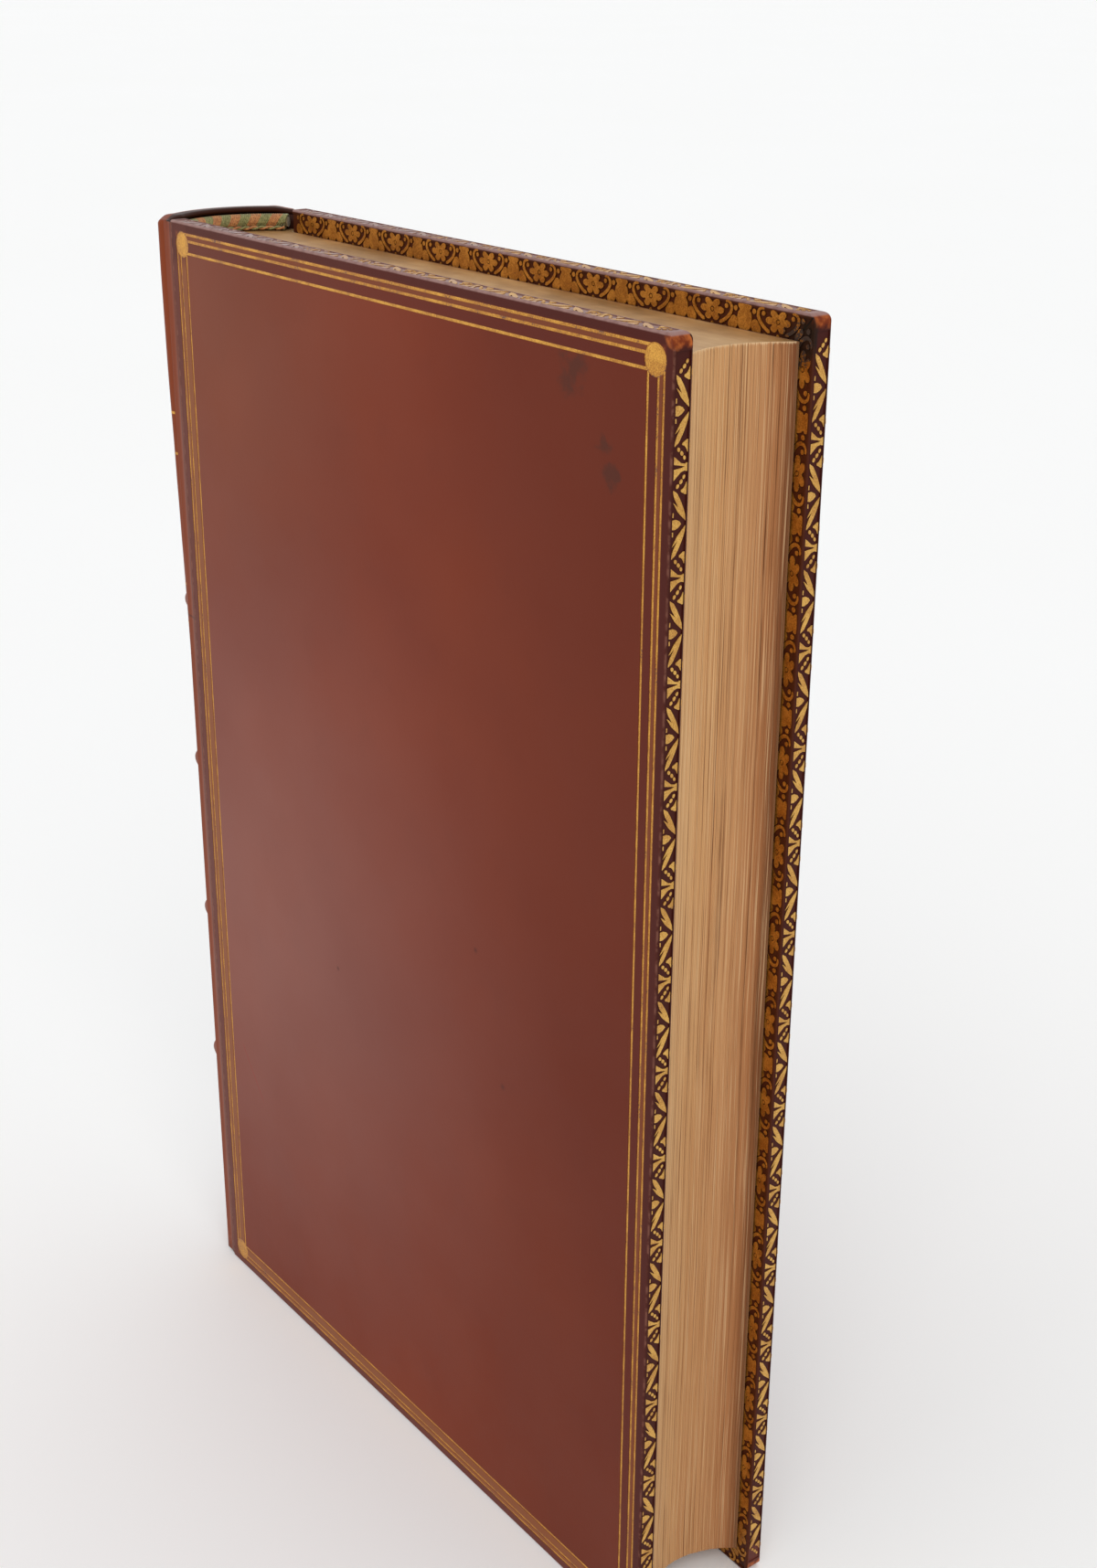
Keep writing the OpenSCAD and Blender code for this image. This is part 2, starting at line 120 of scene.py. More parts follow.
# %% A helper for recipes
class Recipe:
    """A tree of shader nodes that is built one line at a time."""

    def __init__(self, tree):
        self.tree = tree

    def feed(self, socket, value):
        if isinstance(value, bpy.types.NodeSocket):
            self.tree.links.new(value, socket)
        else:
            socket.default_value = value

    def add(self, kind, inputs=None, **settings):
        node = self.tree.nodes.new("ShaderNode" + kind)
        for key, value in settings.items():
            setattr(node, key, value)
        for key, value in (inputs or {}).items():
            self.feed(node.inputs[key], value)
        return node

    def maths(self, operation, *values):
        return self.add("Math", dict(enumerate(values)), operation=operation).outputs[0]

    def times(self, a, b):
        return self.maths("MULTIPLY", a, b)

    def plus(self, a, b):
        return self.maths("ADD", a, b)

    def minus(self, a, b):
        return self.maths("SUBTRACT", a, b)

    def least(self, a, b):
        return self.maths("MINIMUM", a, b)

    def most(self, a, b):
        return self.maths("MAXIMUM", a, b)

    def gap(self, a, b):
        """How far a and b are apart."""
        return self.maths("ABSOLUTE", self.minus(a, b))

    def reach(self, a, b):
        """Length of the arrow that goes a one way and b square to it."""
        return self.maths("SQRT", self.plus(self.times(a, a), self.times(b, b)))

    def span(self, value, start, end, low=0.0, high=1.0):
        """Value carried smoothly from start..end to low..high."""
        node = self.add("MapRange", {"Value": value, "From Min": start, "From Max": end,
                                     "To Min": low, "To Max": high}, interpolation_type="SMOOTHSTEP")
        return node.outputs["Result"]

    def span_mm(self, value, start, end, low=0.0, high=1.0):
        return self.span(value, start * MM, end * MM, low, high)

    def mix(self, share, a, b):
        """Colour a carried to b by share; both may be hex values."""
        a, b = (tone(c) if isinstance(c, str) else c for c in (a, b))
        return self.add("Mix", {0: share, 6: a, 7: b}, data_type="RGBA").outputs[2]

    def ramp(self, value, *stops):
        node = self.add("ValToRGB", {"Fac": value})
        elements = node.color_ramp.elements
        while len(elements) < len(stops):
            elements.new(0.5)
        for element, (position, colour) in zip(elements, stops):
            element.position = position
            element.color = tone(colour)
        return node.outputs["Color"]


print("recipe helper ready")


# %% A helper for finishes
class Finish(Recipe):
    """A material, with x, y and z of the place on the book and a ground colour to stain."""

    def __init__(self, name, roughness=0.5, specular=0.5):
        self.material = bpy.data.materials.new(name)
        self.material.use_nodes = True
        super().__init__(self.material.node_tree)
        self.shader = self.tree.nodes["Principled BSDF"]
        self.shader.inputs["Roughness"].default_value = roughness
        self.shader.inputs["Specular IOR Level"].default_value = specular
        self.place = self.add("TexCoord").outputs["Object"]
        axes = self.add("SeparateXYZ", {0: self.place}).outputs
        self.x, self.y, self.z = axes[0], axes[1], axes[2]
        self.ground = self.fray = None

    def noise(self, scale, detail, stretch=None):
        place = self.place
        if stretch:
            place = self.add("VectorMath", {0: place, 1: stretch}, operation="MULTIPLY").outputs[0]
        made = self.add("TexNoise", {"Vector": place, "Scale": scale, "Detail": detail,
                                     "Roughness": 0.55})
        return made.outputs["Fac"]

    def near(self, x, z, radius, ragged=0.0):
        """1 at a point of the cover, fading to 0 at radius, all in millimetres."""
        far = self.reach(self.minus(self.x, BOARD_X + x * MM), self.minus(self.z, z * MM))
        if ragged:
            if self.fray is None:
                self.fray = self.minus(self.noise(330, 5), 0.5)
            far = self.plus(far, self.times(self.fray, ragged * radius * MM))
        return self.span_mm(far, radius, 0.0)

    def stain(self, hue, *shares):
        """Lays a hue over the ground, as strongly as the shares multiplied."""
        share = shares[0]
        for more in shares[1:]:
            share = self.times(share, more)
        self.ground = self.mix(share, self.ground, hue)

    def colour(self, value=None):
        """Colours the material with a value, or else with the stained ground."""
        self.feed(self.shader.inputs["Base Color"], value or self.ground)

    def rough(self, value):
        self.feed(self.shader.inputs["Roughness"], value)

    def relief(self, height, depth_mm, strength):
        bump = self.add("Bump", {"Height": height, "Distance": depth_mm * MM, "Strength": strength})
        self.feed(self.shader.inputs["Normal"], bump.outputs["Normal"])


print("finish helper ready")

# %% [markdown]
# Calf is smooth and was stained by hand, then polished with a hot iron. So it gets wide soft clouds
# of colour, a hair-fine grain and an uneven gloss. The binder stained the rim outside the gilt lines
# a darker purple. Wear shows where hands and shelves rub: the corners go orange, the edges pale. The
# pale edges also carry a painted highlight, and the crease of the joint a painted shade.


# %% The stained rim of a cover
def insets(f):
    """Distances from the nearer upright edge of the board and from the nearer end of it."""
    aside = f.least(f.minus(f.x, BOARD_X), f.minus(BOARD_X + BOARD_W * MM, f.x))
    return aside, f.least(f.minus(BOARD_H * MM, f.z), f.z)


def darkened_corner(f):
    """1 on the inside of the back cover where the two turn-ins meet at the head, 0 elsewhere."""
    back = f.maths("GREATER_THAN", f.y, 0.0)
    inner = f.span_mm(f.maths("ABSOLUTE", f.y), INNER_Y + 0.9, INNER_Y + 0.3)
    return f.times(f.times(back, inner), f.near(BOARD_W - 2, BOARD_H - 3.5, 5.5, 2.0))


def darker_rim(f, rub):
    """Purple stain outside the gilt frame, rubbed outlines and corners, dark turn-ins, painted shade in
    the crease of the joint and painted highlights on the edges.
    """
    from_fore = f.minus(BOARD_X + BOARD_W * MM, f.x)
    from_head = f.minus(BOARD_H * MM, f.z)
    inset = f.least(*insets(f))
    across = f.maths("ABSOLUTE", f.y)
    between = f.gap(inset, 2.33 * MM)
    f.stain("#521c14", f.span_mm(inset, 5.0, 4.6, 0.0, 0.55))
    f.stain("#7c4226", f.span_mm(between, 0.65, 0.45, 0.0, 0.75))
    f.stain("#3e130e", f.span_mm(inset, 1.7, 1.3, 0.0, 0.65))
    f.stain("#2b100e", f.span_mm(inset, 0.3, 0.1, 0.0, 0.5))
    # Rubbed warm between the gilt lines along the joint and the tail
    warm_side = f.least(f.minus(f.x, BOARD_X), f.z)
    rubbed = f.times(f.span_mm(warm_side, 5.2, 4.6), f.span_mm(from_head, 5.0, 8.0, 0.3, 1.0))
    f.stain(f.mix(f.span_mm(inset, 1.4, 1.9), "#7c4438", "#8e5430"),
            rubbed, f.span_mm(inset, 1.4, 1.9, 0.4, 0.75))
    # Painted shade in the crease of the joint, along the board's spine edge
    f.stain("#3a1a16", f.span(f.x, BOARD_X + 0.5 * MM, BOARD_X + 0.1 * MM, 0.0, 0.5))
    # Rubbed along the outline of the board, with a painted highlight on its arrises
    arris = f.most(f.span_mm(across, OUTER_Y - 0.3, OUTER_Y), f.span_mm(across, INNER_Y + 0.3, INNER_Y))
    f.stain("#8a5c4c", f.span_mm(inset, 0.45, 0.05), arris, f.span(rub, 0.42, 0.62, 0.1, 0.7))
    # Bumped corners, rubbed down to the orange of the bare hide
    corner = f.most(f.near(BOARD_W, BOARD_H, 3.6), f.near(BOARD_W, 0, 3.6))
    bare = f.span(f.times(corner, f.plus(rub, 0.45)), 0.35, 0.7, 0.0, 0.85)
    f.stain(f.ramp(rub, (0.4, "#78300f"), (0.62, "#b8622a")), bare)
    # Inside the cover the turn-ins are nearly black, darkest along the fold of the mitre
    inside = f.span_mm(across, INNER_Y + 0.3, INNER_Y + 0.15)
    fold = f.gap(from_fore, f.least(from_head, f.z))
    f.stain("#48200f", inside)
    f.stain("#140a08", f.span_mm(fold, 0.3, 0.05), inside)
    # Darkened in the corner where the two turn-ins meet at the head of the back cover
    f.stain("#17150f", darkened_corner(f), 0.85)
    # The head edges are painted a pale lilac: dust, and a painted highlight where the top catches the
    # light
    f.stain("#94726c", f.span_mm(from_head, 0.42, 0.2), f.span(rub, 0.3, 0.6, 0.65, 0.95))


# %% [markdown]
# Real age is in the single marks: three smudges near the upper corner, a few specks and one scratch.
# Each is placed by its distance in millimetres from the tail of the joint. Noise frays its outline.

# %% Old marks on the front cover
def old_marks(f, mottle):
    front = f.maths("LESS_THAN", f.y, 0.0)
    smudge = f.most(f.near(105.6, 192.0, 4.2, 2.6),
                    f.most(f.near(113.2, 181.2, 2.7, 3.0), f.near(112.3, 184.4, 2.2, 3.0)))
    f.stain("#3a261e", f.span(f.times(smudge, f.plus(mottle, 0.3)), 0.12, 0.75, 0.0, 0.5), front)
    speck = f.most(f.near(83.5, 102.1, 0.7), f.most(f.near(43.6, 82.3, 0.6), f.near(90.3, 81.7, 0.8)))
    f.stain("#45201a", speck, 0.7, front)
    # The scratch runs from (8.3, 52.2) down to (15.8, 42.0)
    dx = f.minus(f.x, BOARD_X + 8.3 * MM)
    dz = f.minus(f.z, 52.2 * MM)
    along = f.minus(f.times(dx, 0.592), f.times(dz, 0.806))
    aside = f.plus(f.times(dx, 0.806), f.times(dz, 0.592))
    scratch = f.times(f.span_mm(f.maths("ABSOLUTE", aside), 0.2, 0.05),
                      f.times(f.span_mm(along, -0.5, 1.5), f.span_mm(along, 12.8, 10.5)))
    f.stain("#8a2a1c", scratch, 0.6, front)


# %% Shades of the spine
SPINE_CX, SPINE_R, SHOULDER_Y = 7.23, 16.23, 12.6


def spine_shades(f):
    """Painted shade, with some dirt, under the caps, and painted shade in the crease of the joint; one
    old fold across it is a real mark.
    """
    reach = f.reach(f.minus(f.x, BOARD_X + SPINE_CX * MM), f.y)
    # Painted shade, with some dirt, on the roof and lip of the caps
    f.stain("#35180f", f.span_mm(reach, SPINE_R - 0.15, SPINE_R - 0.6),
            f.maths("LESS_THAN", f.maths("ABSOLUTE", f.y), (SHOULDER_Y - 0.3) * MM))
    # Painted shade in the crease of the joint
    f.stain("#401f1a", f.span_mm(f.gap(f.x, BOARD_X - 0.55 * MM), 0.45, 0.12, 0.0, 0.6))
    f.stain("#3a1a12", f.span_mm(f.gap(f.z, 132.4 * MM), 0.3, 0.05, 0.0, 0.6))


# %% [markdown]
# Those shades are laid over one ground, which covers and spine share. The calf itself is almost even
# in colour. Its gloss is kept low, because old polish has sunk in.

# %% Leather
def calf(name, cover):
    """Polished calf. A cover carries a painted reflection, paler and pinker near the joint and darker
    towards its fore edge; the spine is warmer."""
    f = Finish(name, specular=0.09)
    rub = f.noise(700, 4)
    mottle = f.noise(140, 5)
    f.ground = f.ramp(f.noise(18, 2), (0.3, "#6c2813"), (0.5, "#722c15"), (0.7, "#7a3117"))
    f.stain("#5c2312", f.span(mottle, 0.5, 0.8, 0.0, 0.12))
    if cover:
        # Painted reflection of the bright room: darker towards the fore edge, paler and pinker near the
        # joint and the head
        f.stain("#541f10", f.span(f.x, BOARD_X + 55 * MM, BOARD_X + 120 * MM, 0.0, 0.5))
        f.stain("#977069", f.near(16, 84, 95), 0.35)
        f.stain("#7d5a46", f.near(6, 188, 70), 0.25)
        darker_rim(f, rub)
        old_marks(f, mottle)
    else:
        f.stain("#84401f", 0.5)
        spine_shades(f)
    f.colour()
    f.rough(f.span(f.noise(60, 4), 0.3, 0.7, 0.34, 0.44))
    f.relief(f.plus(f.times(f.noise(2600, 2), 0.6), f.times(mottle, 0.8)), 0.05, 0.3)
    return f.material


cover_calf = calf("polished_calf_cover", cover=True)
spine_calf = calf("polished_calf_spine", cover=False)
print("leathers:", cover_calf.name, spine_calf.name)

# %% [markdown]
# Gold leaf is real metal a few hundred atoms thick, pressed in with a hot tool. It is metallic where
# it holds and shows the leather where it has rubbed off, so one worn mask drives both the colour and
# the metallic socket.


# %% Gold leaf
LINES_IN, DISC_IN, DISC_R = (1.8, 2.85, 4.8), 3.5, 2.1


def line_outlines(f):
    """0.5 along the outlines of a cover's gilt lines and 1 round its discs, 0 in their middles.
    The two outer lines, which hands rub first, get 0.25 more."""
    aside, endwise = insets(f)
    inset = f.least(aside, endwise)
    off = None
    for line in LINES_IN:
        this = f.gap(inset, line * MM)
        off = this if off is None else f.least(off, this)
    reach = f.reach(f.minus(aside, DISC_IN * MM), f.minus(endwise, DISC_IN * MM))
    on_disc = f.maths("LESS_THAN", reach, DISC_R * MM)
    line = f.plus(f.span_mm(off, 0.15, 0.24, 0.0, 0.5), f.span_mm(inset, 3.8, 3.3, 0.0, 0.25))
    line = f.times(line, f.minus(1.0, on_disc))
    return f.most(line, f.times(on_disc, f.span_mm(reach, 1.75, DISC_R)))


def spine_end_of_head(f):
    """2.4 on the head edge of a board next to the spine, little towards the fore edge."""
    return f.times(f.span_mm(f.z, BOARD_H - 1, BOARD_H - 0.5),
                   f.span(f.x, BOARD_X + 95 * MM, BOARD_X + 10 * MM, 0.3, 2.4))


def lost_in_corner(f):
    """3 in the darkened corner of the back cover, 0 elsewhere."""
    return f.times(darkened_corner(f), 3.0)


def gold_leaf(name, bright, dull, bare, wear, gloss=0.34, rubbed=None):
    """Worn gilding: wear is the share of the leaf that has gone, rubbed says where more has."""
    f = Finish(name)
    patches = f.noise(420, 4)
    grit = f.noise(5200, 3)
    mixed = f.plus(f.times(patches, 0.45), f.times(grit, 0.55))
    if rubbed:
        mixed = f.minus(mixed, f.times(rubbed(f), 0.1))
    edge = 0.24 + wear * 0.22
    gone = f.span(mixed, edge + 0.04, edge)
    leaf = f.mix(f.span(mixed, 0.4, 0.62), dull, bright)
    # Where the leaf is gone on the head edge, the bare leather is painted pale lilac: dust and a
    # painted highlight
    dust_and_highlight = f.span_mm(f.z, BOARD_H - 0.4, BOARD_H - 0.2)
    f.colour(f.mix(gone, leaf, f.mix(dust_and_highlight, bare, "#8a6a65")))
    f.feed(f.shader.inputs["Metallic"], f.span(gone, 0.0, 1.0, 0.82, 0.0))
    f.rough(f.span(patches, 0.3, 0.7, gloss, gloss + 0.14))
    f.relief(grit, 0.02, 0.4)
    return f.material


line_gold = gold_leaf("gold_lines", "#dba448", "#b0742e", "#5a2f1c", 0.52, rubbed=line_outlines)
roll_gold = gold_leaf("gold_edge_roll", "#dcae5c", "#b98540", "#50282a", 0.42, rubbed=spine_end_of_head)
turn_in_gold = gold_leaf("gold_turn_ins", "#cf8f38", "#a56a22", "#2c1a12", 0.42, 0.4, lost_in_corner)
spine_gold = gold_leaf("gold_spine_lines", "#d9a44c", "#a8702e", "#5a2f24", 0.5)
print("gold finishes: 4")

# %% [markdown]
# The fore edge of old paper shows its leaves as fine lines from tail to head, and its sewn
# gatherings as wider bands. Noise stretched along Z gives both: one coarse, one a fifth of a
# millimetre wide. The open gaps between leaves are painted shade; they come at a steadier pitch, so
# they are lines that repeat. A little noise added to Y first lets all of them wander as real leaves do.


# %% Paper
def page_edges(name):
    """Cut edges of the leaves, lines running from tail to head, darkened towards the back cover by
    painted shade.
    """
    f = Finish(name, roughness=0.8, specular=0.15)
    y = f.plus(f.y, f.times(f.minus(f.noise(26, 2), 0.5), 0.6 * MM))

    def leaves(scale, along, detail=3.0):
        spot = f.add("CombineXYZ", {1: y, 2: f.times(f.z, along)}).outputs[0]
        made = f.add("TexNoise", {"Vector": spot, "Scale": scale, "Detail": detail, "Roughness": 0.6})
        return made.outputs["Fac"]

    def gap_shade(pitch, width):
        """Painted shade in thin lines, width mm wide and about pitch mm apart: the open gaps between
        leaves.
        """
        wander = f.times(leaves(800 / pitch, 0.001, 2.0), 5.0)
        turns = f.maths("FRACT", f.plus(f.maths("DIVIDE", y, pitch * MM), wander))
        return f.span(f.gap(turns, 0.5), width / pitch, width / pitch * 0.3)

    fine, coarse = leaves(5200, 0.006), leaves(1700, 0.003)
    share = f.maths("DIVIDE", f.plus(f.y, PAGE_HALF * MM), 2 * PAGE_HALF * MM)
    # Darker towards the back cover: painted shade
    f.ground = f.ramp(share, (0.0, "#e0b787"), (0.14, "#dab07f"), (0.5, "#cb9a68"), (0.76, "#c08e60"),
                      (0.92, "#a97248"), (1.0, "#6e4024"))
    f.stain("#e2bf92", f.span(fine, 0.5, 0.66, 0.0, 0.5))
    f.stain("#8a5832", f.span(fine, 0.45, 0.34, 0.0, 0.4))
    f.stain("#845230", f.span(coarse, 0.42, 0.36, 0.0, 0.35))
    few = f.times(f.span(f.noise(60, 2, (0, 6, 1)), 0.4, 0.6, 0.4, 0.9),
                  f.span_mm(f.y, -7, -1, 0.45, 1.0))
    # Painted shade in the open gaps between leaves
    f.stain("#5a3218", gap_shade(1.9, 0.11), few)
    f.stain("#6a4022", gap_shade(0.57, 0.06), f.times(few, 0.7))
    f.stain("#8a5a36", f.span_mm(f.z, 150, 30, 0.0, 0.25))
    rust = f.span(f.noise(300, 3, (1, 1, 0.06)), 0.55, 0.75, 0.0, 0.2)
    f.stain("#a05a34", rust, f.span_mm(f.y, -3, 6, 0.2, 1.0))
    ragged = f.plus(f.z, f.times(f.minus(fine, 0.5), 1.6 * MM))
    f.stain("#e0c298", f.span_mm(ragged, PAGES_Z1 - 0.35, PAGES_Z1 - 0.05, 0.0, 0.7))
    f.colour()
    f.relief(f.plus(f.times(fine, 0.45), f.times(coarse, 0.55)), 0.16, 0.8)
    return f.material


def old_paper(name, light, dark, edge_brown_and_shade=None):
    """Plain handmade paper with a faint fibre, darker near its edges if asked: partly browning, partly
    painted shade.
    """
    f = Finish(name, roughness=0.85, specular=0.2)
    f.ground = f.ramp(f.noise(45, 5), (0.3, dark), (0.7, light))
    f.stain(dark, f.span(f.noise(1200, 4), 0.6, 0.75, 0.0, 0.25))
    if edge_brown_and_shade:
        from_end = f.least(f.minus(PAGES_Z1 * MM, f.z), f.minus(f.z, PAGES_Z0 * MM))
        from_edge = f.least(f.minus(page_high.x, f.x), from_end)
        # Darker towards the edges: partly browning with age, partly painted shade beside the boards
        f.stain(edge_brown_and_shade, f.span_mm(from_edge, 9, 0, 0.0, 0.55))
        f.stain(edge_brown_and_shade, f.span_mm(from_edge, 0.5, 0.05, 0.0, 0.9))
    f.colour()
    f.relief(f.noise(1500, 3), 0.03, 0.5)
    return f.material


def gilt_head(name):
    """Gilding on the cut head of the pages, dulled and scuffed along the leaves."""
    f = Finish(name)
    scuff = f.noise(420, 4, (0.3, 1.0, 1.0))
    cloud = f.noise(70, 4)
    both = f.plus(f.times(scuff, 0.35), f.times(cloud, 0.65))
    f.colour(f.ramp(both, (0.34, "#8e683a"), (0.5, "#ae8452"), (0.66, "#c49d6a")))
    f.feed(f.shader.inputs["Metallic"], f.span(both, 0.35, 0.65, 0.4, 0.2))
    f.rough(0.5)
    f.relief(f.noise(2600, 3, (0.05, 1.0, 1.0)), 0.03, 0.5)
    return f.material


fore_edge_paper = page_edges("page_edges")
leaf_paper = old_paper("endpapers", "#e2d2b4", "#d5c29c", edge_brown_and_shade="#7d5230")
lining_paper = old_paper("lining_paper", "#b39a6e", "#8f7750")
head_gilding = gilt_head("gilt_page_head")
print("paper finishes: 4")

# %% [markdown]
# Silk has a soft shine across its threads. Hemp cord and the pasteboard inside the covers are rarely
# seen, but a reader who opens the book or takes it apart meets them, so they get a finish too.


# %% Thread, cord and pasteboard
def thread(name, light, dark, roughness):
    f = Finish(name, roughness=roughness, specular=0.4)
    f.shader.inputs["Sheen Weight"].default_value = 0.25
    strands = f.noise(2600, 3)
    f.colour(f.ramp(strands, (0.35, dark), (0.65, light)))
    f.relief(strands, 0.05, 0.6)
    return f.material


green_silk = thread("green_silk", "#928c54", "#66642f", 0.5)
red_silk = thread("orange_red_silk", "#c58748", "#96592c", 0.5)
# The hemp is darker than fresh cord: painted shade on the cut ends of the endband cores
hemp = thread("hemp_cord", "#a3926b", "#6f5f40", 0.85)
pasteboard = old_paper("pasteboard", "#a58a68", "#7c6546")
print("threads and board ready")

# %% [markdown]
# Pieces that the frame already shapes well keep their shape and only change their finish.


# %% Finishes on the frame's own pieces
def finish_node(name, material):
    mesh = nodes[name].data
    mesh.materials.clear()
    mesh.materials.append(material)


pairs = {"leather": cover_calf, "fillets": line_gold, "edge_roll": roll_gold, "board": pasteboard,
         "turn_in_gilt": turn_in_gold, "pastedown": leaf_paper, "endpaper": leaf_paper}
for part, material in pairs.items():
    finish_node("front_" + part, material)
    finish_node("back_" + part, material)
for name in sorted(nodes):
    if name.startswith("cord_") or name.endswith("_core"):
        finish_node(name, hemp)
    elif name.endswith("green_silk"):
        finish_node(name, green_silk)
    elif name.endswith("red_silk"):
        finish_node(name, red_silk)
finish_node("spine_lining", lining_paper)
finish_node("spine_leather", spine_calf)
finish_node("spine_fillets", spine_gold)
finish_node("text_block", fore_edge_paper)
print("nodes finished:", len(nodes))

# %% [markdown]
# New pieces are plain meshes made from lists of points. One helper makes the object, gives it its
# finish, puts it on its body and hides the node it stands for.


# %% A helper for new pieces
def make_piece(name, points, faces, materials, body=None, stands_for=(), smooth=True):
    mesh = bpy.data.meshes.new(name)
    mesh.from_pydata([tuple(p) for p in points], [], faces)
    mesh.validate()
    for material in materials:
        mesh.materials.append(material)
    mesh.polygons.foreach_set("use_smooth", [smooth] * len(mesh.polygons))
    piece = bpy.data.objects.new(name, mesh)
    bpy.context.scene.collection.objects.link(piece)
    if body:
        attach(piece, body)
    if stands_for:
        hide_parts(*stands_for)
    print("%s: %d faces" % (name, len(mesh.polygons)))
    return piece


def loft(rings, closed=True, ends=0):
    """Points and faces of rings of equal length. ends closes the two ends, facing 1 or -1."""
    count = len(rings[0])
    faces = []
    for r in range(len(rings) - 1):
        for i in range(count if closed else count - 1):
            j = (i + 1) % count
            faces.append((r * count + i, r * count + j, (r + 1) * count + j, (r + 1) * count + i))
    if ends:
        first, last = range(count), range((len(rings) - 1) * count, len(rings) * count)
        faces += [tuple(first[::-ends]), tuple(last[::ends])]
    return [p for ring in rings for p in ring], faces


def ease(t):
    t = min(1.0, max(0.0, t))
    return t * t * (3 - 2 * t)


# %% [markdown]
# The text block is one solid, but its fore edge is hundreds of leaf edges. A section with a step for
# each leaf is drawn at every level and lofted from tail to head. Each leaf's step drifts a little on
# the way up, as paper that has been handled does.

# %% Text block
FOLD_R = 14.93
FORE_X = (page_high.x - BOARD_X) / MM
HOLLOW = 3.5
LEAVES = 300
LEVELS = 64
SHOULDER = [(0.9, PAGE_HALF), (0.9, 9.7), (-0.1, 9.7), (-0.35, 9.76), (-0.53, 9.95), (-0.6, 10.2),
            (-0.6, 11.7)]


def leaf_step(i, z):
    """How far leaf i stands back from the smooth hollow at height z, in mm."""
    group = noise.noise(Vector((i * 0.05, 3.1, z * 0.004)))
    single = noise.noise(Vector((i * 0.83, 7.7, z * 0.013)))
    return 0.13 + 0.11 * group + 0.09 * single


def page_section(z):
    ring = []
    for i in range(LEAVES + 1):
        u = i / LEAVES
        x = FORE_X - HOLLOW * (1 - (2 * u - 1) ** 2) - leaf_step(i, z)
        ring.append(at(x, PAGE_HALF * (2 * u - 1), z))
    turn = math.asin(SHOULDER[-1][1] / FOLD_R)
    arc = [(SPINE_CX - FOLD_R * math.cos(a), FOLD_R * math.sin(a))
           for a in (turn * (1 - 2 * k / 40) for k in range(41))]
    plan = SHOULDER + arc + [(x, -y) for x, y in reversed(SHOULDER)]
    return ring + [at(x, y, z) for x, y in plan]


levels = [PAGES_Z0 + (PAGES_Z1 - PAGES_Z0) * k / (LEVELS - 1) for k in range(LEVELS)]
points, faces = loft([page_section(z) for z in levels], ends=1)
pages = make_piece("page_block", points, faces, [fore_edge_paper, head_gilding], "text_block",
                   ("text_block",), smooth=False)
pages.data.polygons[len(faces) - 1].material_index = 1
print("leaves drawn:", LEAVES)

# %% [markdown]
# The spine is one skin of leather from joint to joint. Its plan is two flats and an arc, softened
# where they meet. Over that plan the skin rises on five raised bands, swells at both ends and along
# the shoulders, and turns in over the endbands as a cap. One section per station, lofted round the
# spine, gives all of it.

# %% Spine plan
SKIN_T = 0.9
BAND_Z = [44.2 + 30.05 * i for i in range(5)]
# A band is round over its cord. BAND_TURN mm off its middle its hollow foot begins, up to FOOT_Z
BAND_MID_R, BAND_R, BAND_TURN = 16.05, 1.7, 1.564
FOOT_R, FOOT_Z = 0.8, 2.3
# The bands are full up to the first angle from the middle of the spine, and gone at the second
FULL_ANGLE, END_ANGLE = 38.8, 49.9
SWELL, SWELL_FROM, SWELL_OVER = 0.75, 14, 17
# Between these angles the skin swells over a shoulder, most towards the head
SHOULDER_IN, SHOULDER_OUT = 24, 47


def spine_stations(step=0.33, soften=3):
    """Points of the outer plan from the front joint round to the back one."""
    turn = math.asin(SHOULDER_Y / SPINE_R)
    raw = [(-0.5 - 2.5 * k / 8, -SHOULDER_Y) for k in range(8)]
    count = int(2 * turn * SPINE_R / step)
    for k in range(count + 1):
        a = -turn + 2 * turn * k / count
        raw.append((SPINE_CX - SPINE_R * math.cos(a), SPINE_R * math.sin(a)))
    raw += [(-3.0 + 2.5 * k / 8, SHOULDER_Y) for k in range(1, 9)]
    for _ in range(soften):
        raw = [raw[0]] + [tuple((a + 2 * b + c) / 4 for a, b, c in zip(raw[i - 1], raw[i], raw[i + 1]))
                          for i in range(1, len(raw) - 1)] + [raw[-1]]
    return raw


stations = spine_stations()
print("stations round the spine:", len(stations))


def outward(i):
    """Unit normal of the plan at station i, away from the pages."""
    a, b = stations[max(0, i - 1)], stations[min(len(stations) - 1, i + 1)]
    along = Vector((b[0] - a[0], b[1] - a[1])).normalized()
    return Vector((-along.y, along.x))


def angle_of(i):
    x, y = stations[i]
    return abs(math.degrees(math.atan2(y, SPINE_CX - x)))


# %% Spine leather
def band_height(dz):
    """Rise of the leather dz mm above or below the middle of a cord."""
    dz = abs(dz)
    if dz < BAND_TURN:
        return BAND_MID_R + math.sqrt(BAND_R ** 2 - dz ** 2) - SPINE_R
    if dz < FOOT_Z:
        return FOOT_R - math.sqrt(FOOT_R ** 2 - (FOOT_Z - dz) ** 2)
    return 0.0


def skin_rise(i, z):
    """Height of the skin over the plain plan at station i and height z."""
    angle = angle_of(i)
    fade = 1 - ease((angle - FULL_ANGLE) / (END_ANGLE - FULL_ANGLE))
    shoulder = ease((angle - SHOULDER_IN) / 16) * (1 - ease((angle - SHOULDER_OUT) / 3.9))
    full = (0.2 + 1.1 * ease((z - 110) / 85)) * shoulder
    band = max(band_height(z - b) for b in BAND_Z)
    swell = max(ease((z - (PAGES_Z1 - SWELL_FROM)) / SWELL_OVER),
                ease(((PAGES_Z0 + SWELL_FROM) - z) / SWELL_OVER))
    dents = 0.05 * noise.noise(Vector((i * 0.09, 0.4, z * 0.11))) - 0.05
    return max(fade * (band + SWELL * swell), full) + dents


